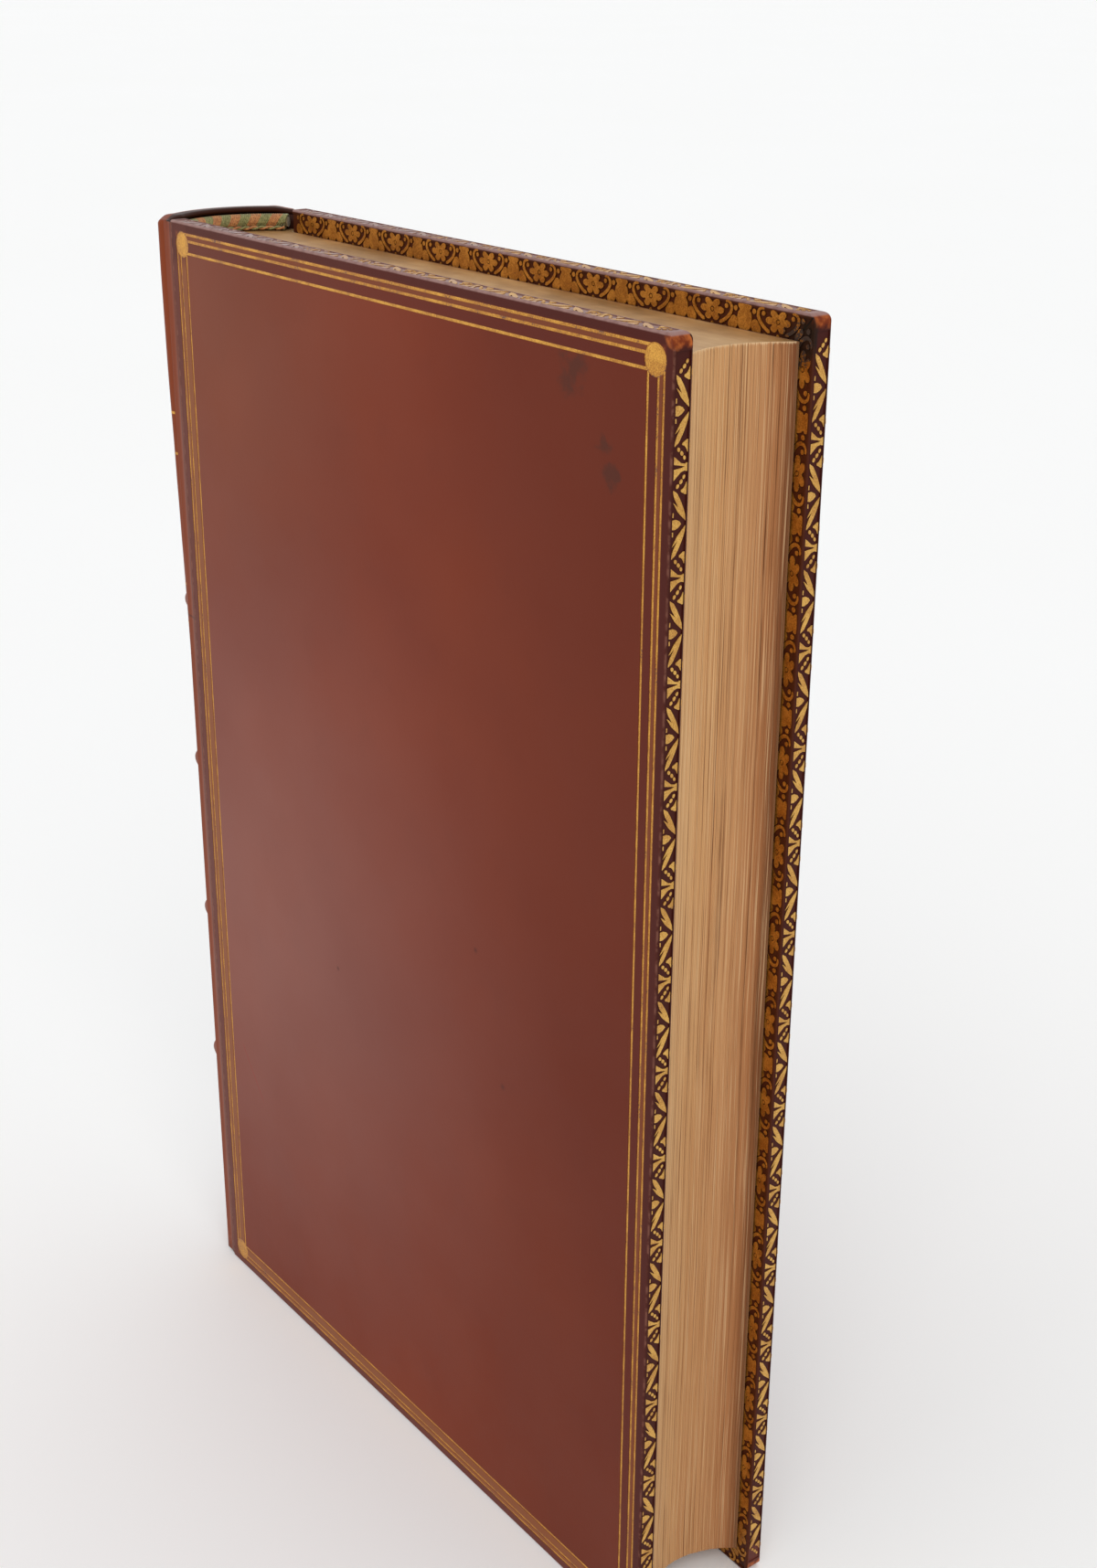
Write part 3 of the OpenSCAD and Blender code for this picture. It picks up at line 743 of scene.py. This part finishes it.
# Heights of a section, closer together near a band
WALL_END, FINE, WIDE, NEAR_BAND = 1.2, 0.3, 1.2, 3.2
wall = []
z = WALL_END
while z < BOARD_H - WALL_END:
    wall.append(z)
    z += FINE if min(abs(z - b) for b in BAND_Z) < NEAR_BAND else WIDE
wall.append(BOARD_H - WALL_END)

CROWN_R, LIP_R, LIP_OUT = 0.7, 0.42, 1.15
CAP_Z, HEAD_CAP, TAIL_CAP = 0.4, 0.48, 0.2


def cap_points(rise, top, lip):
    """The end of the skin: over the crown, along the roof and round the lip."""
    made = [(rise - CROWN_R + CROWN_R * math.cos(a), top - CROWN_R + CROWN_R * math.sin(a))
            for a in (math.radians(d) for d in (0, 22, 45, 68, 90))]
    made += [(lip + LIP_R + LIP_R * math.cos(a), top - LIP_R + LIP_R * math.sin(a))
             for a in (math.radians(d) for d in (90, 120, 150, 180, 210, 240, 270))]
    made.append((-SKIN_T, top - 2 * LIP_R))
    return made


rings = []
for i, (x, y) in enumerate(stations):
    n = outward(i)
    fade = 1 - ease((angle_of(i) - 36) / 13)
    section = [(skin_rise(i, z), z) for z in wall]
    lip = -SKIN_T - LIP_OUT * fade
    section += cap_points(skin_rise(i, BOARD_H), BOARD_H - CAP_Z + HEAD_CAP * fade, lip)
    section += [(-SKIN_T, PAGES_Z1), (-SKIN_T, PAGES_Z0)]
    tail = cap_points(skin_rise(i, 0.0), BOARD_H - CAP_Z + TAIL_CAP * fade, lip)
    section += [(o, BOARD_H - h) for o, h in reversed(tail)]
    rings.append([at(x + n.x * o, y + n.y * o, h) for o, h in section])
points, faces = loft(rings, ends=-1)
make_piece("spine_skin", points, faces, [spine_calf], "text_block", ("spine_leather",))

# %% [markdown]
# Gilt lines run round the spine on both sides of each band. Each is a narrow strip that repeats the
# skin's own height, so it lies on the leather wherever the leather goes.

# %% Gilt lines on the spine
LINE_OFF, LINE_W, LINE_RISE = 3.5, 0.44, 0.02
inside = [i for i in range(len(stations)) if angle_of(i) < END_ANGLE]
points, faces = [], []
for band in BAND_Z:
    for middle in (band - LINE_OFF, band + LINE_OFF):
        first = len(points)
        for i in inside:
            x, y = stations[i]
            n = outward(i)
            o = skin_rise(i, middle) + LINE_RISE
            for dz in (-LINE_W / 2, LINE_W / 2):
                points.append(at(x + n.x * o, y + n.y * o, middle + dz))
        for k in range(len(inside) - 1):
            a = first + 2 * k
            faces.append((a, a + 2, a + 3, a + 1))
make_piece("spine_gilt_lines", points, faces, [spine_gold], "text_block", ("spine_fillets",))

# %% [markdown]
# The joint is the same leather, creased where the cover swings. It meets the text block at one edge
# and the cover at the other, so it is a strip of its own and is put on neither body.


# %% Joints
JOINT_W, JOINT_END, PAPER_END = 2.9, 0.45, 0.3


def joint_strip(side, body):
    """Leather over the joint, from the shoulder of the spine to the edge of the board."""
    rows, levels = 22, 60
    rings = []
    for k in range(levels):
        z = JOINT_END + (BOARD_H - 2 * JOINT_END) * k / (levels - 1)
        outer, inner = [], []
        for r in range(rows + 1):
            t = r / rows
            x = -JOINT_W + JOINT_W * t
            rise = 0.03 + 0.24 * ease((t - 0.35) / 0.65) - 0.03 * math.sin(math.pi * t)
            outer.append(at(x, side * (SHOULDER_Y + rise), z))
            inner.append(at(x, side * (SHOULDER_Y + 0.005), z))
        rings.append(outer + inner[::-1])
    points, faces = loft(rings, ends=1)
    if side > 0:
        faces = [tuple(reversed(f)) for f in faces]
    name = body.replace("cover", "joint_leather")
    piece = make_piece(name, points, faces, [spine_calf])
    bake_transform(piece)


def inner_hinge(side, body):
    """Paper from the endpaper to the pastedown. It lies folded in the closed book."""
    y0, y1 = 9.72, INNER_Y + 0.2
    middle, bend = (y0 + y1) / 2, (y1 - y0) / 2
    plan = [(1.9 - 1.7 * k / 6, y0) for k in range(6)]
    plan += [(0.2 - 0.15 * math.sin(a), middle - bend * math.cos(a))
             for a in (math.pi * k / 24 for k in range(25))]
    plan += [(0.2 + 1.7 * k / 6, y1) for k in range(1, 7)]
    levels = 12
    low, height = PAGES_Z0 + PAPER_END, PAGES_Z1 - PAGES_Z0 - 2 * PAPER_END
    rings = [[at(x, side * y, low + height * k / (levels - 1)) for x, y in plan] for k in range(levels)]
    points, faces = loft(rings, closed=False)
    name = body.replace("cover", "inner_hinge")
    piece = make_piece(name, points, faces, [leaf_paper])
    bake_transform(piece)


for side, body in ((-1, "front_cover"), (1, "back_cover")):
    joint_strip(side, body)
    inner_hinge(side, body)

# %% [markdown]
# Endbands are wound by hand: silk goes over a core a few turns at a time, green then orange-red, and
# the stripes lean. Each turn is a thin tube bent into a ring, and the lean comes from moving the
# ring's lower half back along the core. A twist of the two silks, the bead, lies on the pages.


# %% Endbands
def tube(path, radius_mm, closed=False):
    """Points and faces of a tube along a path of scene points."""
    sides = 6
    radius = radius_mm * MM
    count = len(path)
    rings = []
    for i, p in enumerate(path):
        a = path[(i - 1) % count] if closed or i else path[0]
        b = path[(i + 1) % count] if closed or i < count - 1 else path[-1]
        along = (b - a).normalized()
        across = along.cross(Vector((0.31, 0.17, 0.93))).normalized()
        rest = along.cross(across)
        rings.append([p + radius * (across * math.cos(t) + rest * math.sin(t))
                      for t in (2 * math.pi * s / sides for s in range(sides))])
    points, faces = loft(rings)
    if closed:
        last = (count - 1) * sides
        faces += [(last + s, last + (s + 1) % sides, (s + 1) % sides, s) for s in range(sides)]
    return points, faces


LINING_R, ENDBAND_GAP = 15.33, 0.1
ENDBAND_X, ENDBAND_Y = -1.2, 11.3


def endband(end, low, high, up):
    """Both silks of one endband. up is 1 at the head and -1 at the tail."""
    diameter, middle_z = (high.z - low.z) / MM, (high.z + low.z) / 2 / MM
    core_r = LINING_R - ENDBAND_GAP - diameter / 2
    half = min(math.acos((SPINE_CX - ENDBAND_X) / (core_r - diameter / 2)),
               math.asin(ENDBAND_Y / (core_r + diameter / 2)))
    length = 2 * half * core_r
    silk, group, lean = 0.36, 5, 0.75 * up
    made = {"green": ([], []), "red": ([], [])}

    def spot(s, r, angle):
        """A point s mm along the band, r mm off its middle, at angle from the fore edge."""
        a = -half + s / core_r
        radial = core_r - r * math.cos(angle)
        return at(SPINE_CX - radial * math.cos(a), radial * math.sin(a), middle_z + r * math.sin(angle))

    def put(colour, points, faces):
        first = len(made[colour][0])
        made[colour][0].extend(points)
        made[colour][1].extend(tuple(first + i for i in f) for f in faces)

    for k in range(int(length / silk)):
        s = silk * (k + 0.5)
        ring = []
        for q in range(18):
            angle = 2 * math.pi * q / 18
            shift = lean * math.sin(angle) * min(1.0, s / 1.2, (length - s) / 1.2)
            ring.append(spot(min(length - 0.2, max(0.2, s + shift)), diameter / 2 - silk / 2, angle))
        put("green" if int(k / group) % 2 == 0 else "red", *tube(ring, silk * 0.52, closed=True))
    for colour, phase in (("green", 0.0), ("red", math.pi)):
        path = []
        steps = int(length / 0.25)
        for q in range(steps + 1):
            s = 0.3 + (length - 0.6) * q / steps
            twist = phase + s * 2.1
            path.append(spot(s, diameter / 2 + 0.12 + 0.14 * math.cos(twist), 0)
                        + Vector((0, 0, (-up * (diameter / 2 - 0.42) + 0.16 * math.sin(twist)) * MM)))
        put(colour, *tube(path, 0.19))
    for colour, material in (("green", green_silk), ("red", red_silk)):
        points, faces = made[colour]
        make_piece("%s_endband_%s_winding" % (end, colour), points, faces, [material], "text_block",
                   ("%s_endband_%s_silk" % (end, colour),))


head_low, head_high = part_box("head_endband_green_silk")
tail_low, tail_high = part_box("tail_endband_green_silk")
endband("head", head_low, head_high, 1)
endband("tail", tail_low, tail_high, -1)

# %% [markdown]
# The gilt ornaments come from brass rolls, so each is drawn once, as a flat tile of closed outlines,
# and then repeated along an edge as the binder rolls the tool. A filled 2D curve makes the tile:
# outlines with smooth handles become gold shapes with clean, rounded forms.


# %% A helper for gilt tiles
TILE_T = 0.1


def gilt_tile(name, outlines):
    """Points and faces in mm of flat shapes: each outline is (points, smooth)."""
    curve = bpy.data.curves.new(name, "CURVE")
    curve.dimensions = "2D"
    curve.fill_mode = "BOTH"
    curve.extrude = TILE_T / 2
    curve.resolution_u = 3
    for outline, smooth in outlines:
        spline = curve.splines.new("BEZIER")
        spline.bezier_points.add(len(outline) - 1)
        for knot, (u, v) in zip(spline.bezier_points, outline):
            knot.co = (u, v, 0)
            knot.handle_left_type = knot.handle_right_type = "AUTO" if smooth else "VECTOR"
        spline.use_cyclic_u = True
    holder = bpy.data.objects.new(name, curve)
    bpy.context.scene.collection.objects.link(holder)
    bpy.context.view_layer.update()
    mesh = bpy.data.meshes.new_from_object(holder.evaluated_get(bpy.context.evaluated_depsgraph_get()))
    points = [v.co.copy() for v in mesh.vertices]
    faces = [tuple(p.vertices) for p in mesh.polygons]
    bpy.data.objects.remove(holder)
    bpy.data.meshes.remove(mesh)
    print("%s: %d outlines, %d faces" % (name, len(outlines), len(faces)))
    return points, faces


def mirrored(outline):
    points, smooth = outline
    return [(-u, v) for u, v in reversed(points)], smooth


def oval(u, v, ru, rv, turn=0.0):
    count = 8
    c, s = math.cos(turn), math.sin(turn)
    made = []
    for k in range(count):
        a = 2 * math.pi * k / count
        p, q = ru * math.cos(a), rv * math.sin(a)
        made.append((u + p * c - q * s, v + p * s + q * c))
    return made, True


def ribbon(middle, widths):
    """Outline of a stroke along middle, widths mm wide at each point."""
    left, right = [], []
    for i, (u, v) in enumerate(middle):
        a, b = middle[max(0, i - 1)], middle[min(len(middle) - 1, i + 1)]
        du, dv = b[0] - a[0], b[1] - a[1]
        size = math.hypot(du, dv)
        nu, nv = -dv / size * widths[i] / 2, du / size * widths[i] / 2
        left.append((u + nu, v + nv))
        right.append((u - nu, v - nv))
    return left + right[::-1], True


class Gilding:
    """Gathers the points and faces of tiles that are laid along edges."""

    def __init__(self):
        self.points, self.faces = [], []

    def lay(self, tile, start, along, across, out, length, pitch, width, keep):
        """Repeats a tile from start. keep lists planes (point, normal) that cut the run off."""
        count = max(1, round(length / pitch))
        stretch = length / count / pitch
        flip = along.cross(across).dot(out) < 0
        run_points, run_faces = [], []
        for k in range(count):
            first = len(run_points)
            for p in tile[0]:
                run_points.append(start + (along * ((k + 0.5) * pitch + p.x) * stretch
                                           + across * p.y * width + out * p.z) * MM)
            for f in tile[1]:
                f = tuple(first + i for i in f)
                run_faces.append(tuple(reversed(f)) if flip else f)
        if keep:
            run_points, run_faces = self.trim(run_points, run_faces, keep)
        first = len(self.points)
        self.points += run_points
        self.faces += [tuple(first + i for i in f) for f in run_faces]

    def lay_both(self, tile, between, start, along, across, out, length, pitch, width=1.0, keep=()):
        """Lays one tile along a run, and another half-way between its repeats."""
        self.lay(tile, start, along, across, out, length, pitch, width, keep)
        step = length / max(1, round(length / pitch))
        self.lay(between, start + along * step * MM / 2, along, across, out, length - step, pitch,
                 width, keep)

    @staticmethod
    def trim(points, faces, planes):
        mesh = bmesh.new()
        made = [mesh.verts.new(p / MM) for p in points]
        for f in faces:
            if len(set(f)) == len(f):
                try:
                    mesh.faces.new([made[i] for i in f])
                except ValueError:
                    pass
        for point, normal in planes:
            everything = mesh.verts[:] + mesh.edges[:] + mesh.faces[:]
            bmesh.ops.bisect_plane(mesh, geom=everything, plane_co=point / MM, plane_no=normal,
                                   clear_outer=True, dist=1e-5)
        mesh.verts.index_update()
        kept = [v.co * MM for v in mesh.verts]
        faces = [tuple(v.index for v in f.verts) for f in mesh.faces]
        mesh.free()
        return kept, faces


# %% [markdown]
# The edge roll: two pointed leaves meet over a bud, and between two such pairs a fan stands with a
# chain of three beads on each side. Shapes are in millimetres, across from -1.25 to 1.25.

# %% Tiles of the edge roll
ROLL_PITCH = 13.9
bud = ([(-0.59, -1.25), (-0.65, -0.7), (-0.42, -0.05), (-0.04, 0.42), (0.35, 0.1), (0.62, -0.55),
        (0.59, -1.25)], False)
leaf = ([(0.29, 1.22), (0.56, 0.88), (0.92, 0.42), (1.54, -0.26), (2.26, -0.79), (2.77, -1.15),
         (2.53, -0.78), (2.1, -0.22), (2.48, -0.42), (3.18, -0.9), (3.79, -1.15), (4.36, -1.25),
         (3.86, -0.45), (2.98, 0.16), (2.05, 0.7), (1.12, 1.1)], False)
petal = ([(3.61, 1.25), (3.78, 0.62), (4.11, 0.18), (4.36, 0.62), (4.78, 1.0), (5.12, 1.25)], True)
tick = ([(0.92, -1.25), (0.92, -1.0), (1.51, -0.98), (1.47, -1.25)], False)
beads = [oval(4.7, -0.42, 0.31, 0.24, 0.8), oval(5.22, 0.16, 0.33, 0.25, 0.8),
         oval(5.78, 0.66, 0.29, 0.22, 0.6)]
one_side = [leaf, petal, tick] + beads
roll_tile = gilt_tile("edge_roll_tile", [bud] + one_side + [mirrored(shape) for shape in one_side])
fan = ([(-1.51, -1.25), (-1.05, -0.6), (-0.55, 0.1), (-0.42, 0.7), (-0.55, 1.25), (0.55, 1.25),
        (0.42, 0.7), (0.55, 0.1), (1.05, -0.6), (1.51, -1.25), (0.5, -1.25), (0.21, 0.2), (0.06, 0.75),
        (-0.04, 0.2), (-0.13, -1.25)], False)
fan_tile = gilt_tile("fan_tile", [fan])

# %% [markdown]
# The roll is laid on the head and fore edges of both boards, in the shallow channel that the frame
# has there. The leaves meet towards the back of the book on both boards, because the binder went
# round each board the same way.

# %% Edge rolls
X, Y, Z = Vector((1, 0, 0)), Vector((0, 1, 0)), Vector((0, 0, 1))
CORNER_R, ROLL_START, ROLL_W = 1.6, 0.5, 2.5
for side in ("front", "back"):
    low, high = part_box(side + "_edge_roll")
    middle_y = (low.y + high.y) / 2
    width = (high.y - low.y) / MM / ROLL_W
    gilding = Gilding()
    head_len = (high.x - low.x) / MM - CORNER_R - ROLL_START
    fore_len = (high.z - low.z) / MM - CORNER_R - ROLL_START
    fore_x, head_z = high.x - TILE_T / 2 * MM, high.z - TILE_T / 2 * MM
    for start, along, out, length in (
            (Vector((BOARD_X + ROLL_START * MM, middle_y, head_z)), X, Z, head_len),
            (Vector((fore_x, middle_y, low.z)), Z, X, fore_len)):
        gilding.lay_both(roll_tile, fan_tile, start, along, Y, out, length, ROLL_PITCH, width)
    make_piece(side + "_edge_gilding", gilding.points, gilding.faces, [roll_gold], side + "_cover",
               (side + "_edge_roll",), smooth=False)

# %% [markdown]
# The border of the turn-ins is one wide roll: a flower of six petals between two scrolls, and an acorn
# in its cap between two beads. Across, it runs from 0 at the edge of the board to 5.95 at the inner
# line. At the corners the two runs are cut on the mitre, which the bisect tool does in one step.

# %% Tile of the turn-ins
TURN_IN_PITCH = 13.1
scroll = ribbon([(2.72, 0.1), (3.25, 0.1), (3.75, 0.4), (3.92, 0.95), (3.68, 1.55), (3.1, 2.12),
                 (2.35, 2.6), (1.55, 2.95)], [0.16, 0.34, 0.42, 0.5, 0.52, 0.5, 0.46, 0.2])
eye = oval(2.86, 0.7, 0.33, 0.31)
bead = oval(4.7, 0.72, 0.35, 0.34)
side_leaf = ([(4.1, 1.75), (4.75, 1.75), (5.2, 2.3), (5.0, 3.1), (4.3, 3.5), (3.5, 3.35), (3.3, 2.75),
              (3.75, 2.15)], True)
garland = ribbon([(0.3, 4.9), (1.5, 4.75), (2.7, 4.3), (4.0, 4.15), (5.0, 4.5)],
                 [0.3, 0.5, 0.5, 0.45, 0.2])
bud_leaf = oval(2.4, 3.62, 0.62, 0.32, -0.6)
one_side = [scroll, eye, bead, side_leaf, garland, bud_leaf]
half_flower = [(0.4, 0.28), (0.9, 0.08), (1.4, 0.22), (1.45, 0.66), (1.16, 0.98), (1.75, 0.98),
               (2.38, 1.42), (1.78, 1.92), (1.14, 1.92), (1.42, 2.3), (1.08, 2.75), (0.5, 2.78),
               (0.14, 2.5)]
flower = ([(0, 0.6)] + half_flower + [(0, 2.3)] + mirrored((half_flower, True))[0], True)
inner_line = ([(-6.55, 5.5), (6.55, 5.5), (6.55, 5.95), (-6.55, 5.95)], False)
turn_in_tile = gilt_tile("turn_in_tile", one_side + [mirrored(shape) for shape in one_side]
                         + [flower, oval(0, 1.45, 0.4, 0.36), oval(0, 1.45, 0.27, 0.24),
                            oval(0, 3.7, 0.34, 0.7), inner_line])
half_nut = [(0.9, 0.02), (1.3, 0.12), (1.28, 0.46), (0.98, 0.72), (1.26, 1.1), (1.44, 1.75),
            (1.38, 2.45), (0.95, 3.15)]
nut = ([(0, 0.0)] + half_nut + [(0, 3.6)] + mirrored((half_nut, True))[0], True)
stalk = ([(-0.22, 3.85), (0.22, 3.85), (0.3, 5.3), (-0.3, 5.3)], False)
acorn_tile = gilt_tile("acorn_tile", [nut, stalk])

# %% Gilt turn-ins
TURN_IN_EDGE, TURN_IN_RISE = 0.38, 0.04
for side, sign in (("front", -1), ("back", 1)):
    low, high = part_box(side + "_leather")
    y = sign * (INNER_Y + TURN_IN_RISE) * MM
    out = Y * -sign
    edge = TURN_IN_EDGE * MM
    fore_x, head_z, tail_z = high.x - edge, high.z - edge, edge
    head_len, fore_len = (fore_x - BOARD_X) / MM, (head_z - tail_z) / MM
    mitre, low_mitre = Vector((fore_x, y, head_z)), Vector((fore_x, y, tail_z))
    runs = (
        (Vector((BOARD_X, y, head_z)), X, -Z, head_len, [(mitre, (X - Z).normalized())]),
        (Vector((BOARD_X, y, tail_z)), X, Z, head_len, [(low_mitre, (X + Z).normalized())]),
        (Vector((fore_x, y, tail_z)), Z, -X, fore_len,
         [(mitre, (Z - X).normalized()), (low_mitre, (-Z - X).normalized())]))
    gilding = Gilding()
    for start, along, across, length, keep in runs:
        gilding.lay_both(turn_in_tile, acorn_tile, start, along, across, out, length, TURN_IN_PITCH,
                         keep=keep)
    make_piece(side + "_turn_in_gilding", gilding.points, gilding.faces, [turn_in_gold],
               side + "_cover", (side + "_turn_in_gilt",), smooth=False)

# %% [markdown]
# A pale floor and soft, even light suit a catalogue picture. The floor takes the book's shadow. The
# room is nearly white where the camera or the gold sees it, and a little dimmer where it gives light.

# %% Floor
sweep = Finish("pale_sweep", roughness=0.7, specular=0.2)
sweep.colour(sweep.mix(sweep.noise(3, 2), "#fbfbfa", "#fdfdfd"))
corners = [(-20, -20, 0), (20, -20, 0), (20, 20, 0), (-20, 20, 0)]
floor = make_piece("floor", corners, [(0, 1, 2, 3)], [sweep.material], smooth=False)

# %% Light
world = bpy.data.worlds.new("studio")
bpy.context.scene.world = world
world.use_nodes = True
room = Recipe(world.node_tree)
lit = room.add("Background", {"Color": (0.98, 0.99, 1.0, 1), "Strength": 0.78}).outputs[0]
seen = room.add("Background", {"Color": (0.98, 0.985, 0.99, 1)}).outputs[0]
rays = room.add("LightPath").outputs
looks = room.most(rays["Is Camera Ray"], rays["Is Glossy Ray"])
looks = room.most(looks, rays["Is Transmission Ray"])
both = room.add("MixShader", {0: looks, 1: lit, 2: seen}).outputs[0]
room.feed(room.tree.nodes["World Output"].inputs[0], both)


def window(name, source, strength, spread, colour):
    """Daylight from a wide window far off, so that near and far floor are lit alike."""
    light = bpy.data.lights.new(name, "SUN")
    light.energy = strength
    light.angle = math.radians(spread)
    light.color = colour
    holder = bpy.data.objects.new(name, light)
    holder.rotation_euler = Vector(source).to_track_quat("Z", "Y").to_euler()
    bpy.context.scene.collection.objects.link(holder)


window("window", (0.75, -0.55, 0.75), 0.85, 50, (1.0, 0.98, 0.95))
window("side_panel", (-0.5, -0.9, 0.5), 0.3, 70, (0.97, 0.98, 1.0))
print("two windows and a bright room")

# %% Finish
bpy.context.scene.view_settings.view_transform = "Standard"
